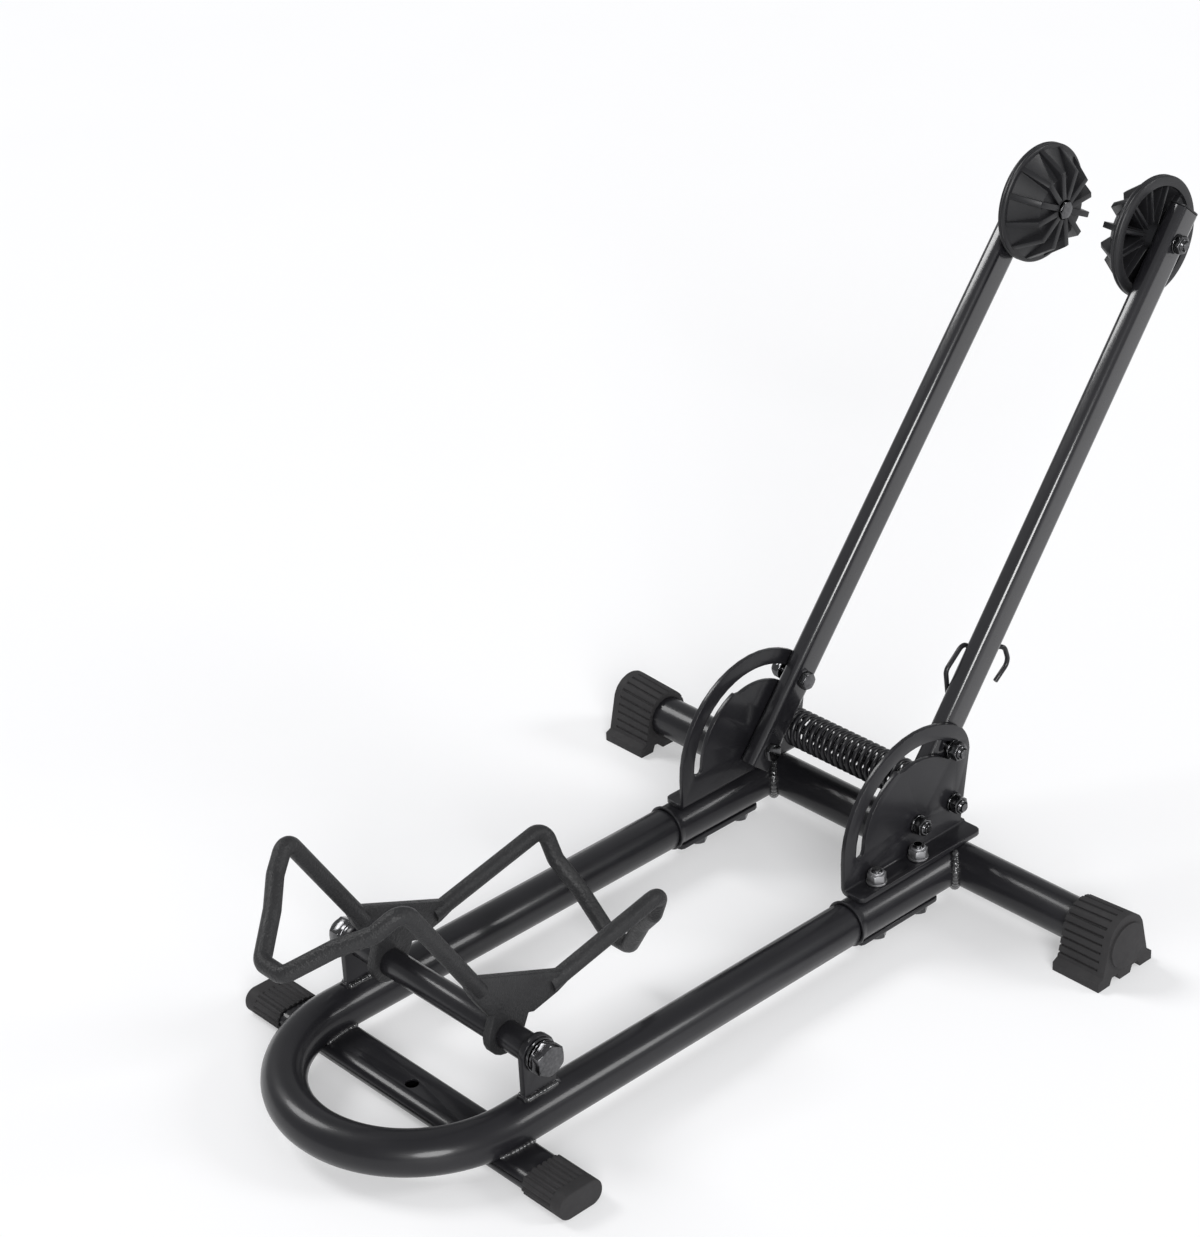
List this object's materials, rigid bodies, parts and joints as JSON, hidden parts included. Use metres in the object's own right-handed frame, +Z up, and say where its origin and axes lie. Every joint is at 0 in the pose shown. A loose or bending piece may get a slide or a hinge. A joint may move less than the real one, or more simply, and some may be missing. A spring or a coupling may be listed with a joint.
{
  "type": "bicycle floor rack",
  "caption": "Low tube frame with a rocking wire tyre cradle at its front and two leaning arms with finned discs that hold a bicycle wheel.",
  "frame": {"origin": "on the floor under the middle of the rack's outline", "axes": "+Y to the rear, where the arms lean, +Z up from the floor, +X to the right seen from behind the arms facing the cradle's opposite end"},
  "size_m": [0.405, 0.6785, 0.375],
  "materials": {
    "powder_coat": "satin black powder coat",
    "wrinkle_coat": "coarse wrinkled black coat",
    "rubber": "matte moulded",
    "plastic": "matte moulded",
    "dark_zinc": "black zinc plate",
    "bright_zinc": "zinc plate"
  },
  "bodies": {
    "base": {"front_tube": "powder_coat", "rear_cross_tube": "powder_coat", "front_bar": "powder_coat", "right_stub_tube": "powder_coat", "left_stub_tube": "powder_coat", "right_shaft_tab": "powder_coat", "left_shaft_tab": "powder_coat", "right_bracket": "powder_coat", "left_bracket": "powder_coat", "right_clamp_strip": "powder_coat", "left_clamp_strip": "powder_coat", "rod_spring": "powder_coat", "right_spacer": "powder_coat", "left_spacer": "powder_coat", "right_rear_foot": "rubber", "left_rear_foot": "rubber", "right_front_cap": "rubber", "left_front_cap": "rubber", "right_front_flange_bolt": "dark_zinc", "left_front_flange_bolt": "dark_zinc", "right_rear_flange_bolt": "dark_zinc", "left_rear_flange_bolt": "dark_zinc", "right_pivot_bolt": "dark_zinc", "left_pivot_bolt": "dark_zinc", "right_pivot_nut": "dark_zinc", "left_pivot_nut": "dark_zinc", "right_rod_nut": "dark_zinc", "left_rod_nut": "dark_zinc", "cross_rod": "dark_zinc", "right_shaft_washer": "dark_zinc", "left_shaft_washer": "dark_zinc", "shaft_bolt": "dark_zinc", "shaft_nut": "dark_zinc", "right_front_flange_nut": "bright_zinc", "left_front_flange_nut": "bright_zinc", "right_rear_flange_nut": "bright_zinc", "left_rear_flange_nut": "bright_zinc"},
    "right_arm_body": {"right_arm": "powder_coat", "right_arm_plug": "plastic", "right_guide_bolt": "dark_zinc", "right_guide_nut": "dark_zinc", "right_disc_bolt": "dark_zinc", "right_disc_nut": "dark_zinc", "arm_hook": "powder_coat"},
    "left_arm_body": {"left_arm": "powder_coat", "left_arm_plug": "plastic", "left_guide_bolt": "dark_zinc", "left_guide_nut": "dark_zinc", "left_disc_bolt": "dark_zinc", "left_disc_nut": "dark_zinc"},
    "right_disc_body": {"right_disc": "plastic"},
    "left_disc_body": {"left_disc": "plastic"},
    "cradle_body": {"rear_cradle_loop": "wrinkle_coat", "front_cradle_loop": "wrinkle_coat", "right_gusset": "wrinkle_coat", "left_gusset": "wrinkle_coat", "cradle_tube": "powder_coat"}
  },
  "joints": [
    {"name": "right_arm_fold", "type": "hinge", "parent": "base", "child": "right_arm_body", "pos_m": [0.05745, 0.06998, 0.054], "axis": [1, 0, 0], "range_deg": [0, 100]},
    {"name": "left_arm_fold", "type": "hinge", "parent": "base", "child": "left_arm_body", "pos_m": [-0.05745, 0.06998, 0.054], "axis": [1, 0, 0], "range_deg": [0, 100]},
    {"name": "right_disc_spin", "type": "hinge", "parent": "right_arm_body", "child": "right_disc_body", "pos_m": [0.05381, 0.29981, 0.33882], "axis": [1, 0.0062, 0.0077], "continuous": true},
    {"name": "left_disc_spin", "type": "hinge", "parent": "left_arm_body", "child": "left_disc_body", "pos_m": [-0.05381, 0.29981, 0.33882], "axis": [1, -0.0062, -0.0077], "continuous": true},
    {"name": "cradle_rock", "type": "hinge", "parent": "base", "child": "cradle_body", "pos_m": [0, -0.23042, 0.0575], "axis": [1, 0, 0], "range_deg": [-12, 60]}
  ]
}
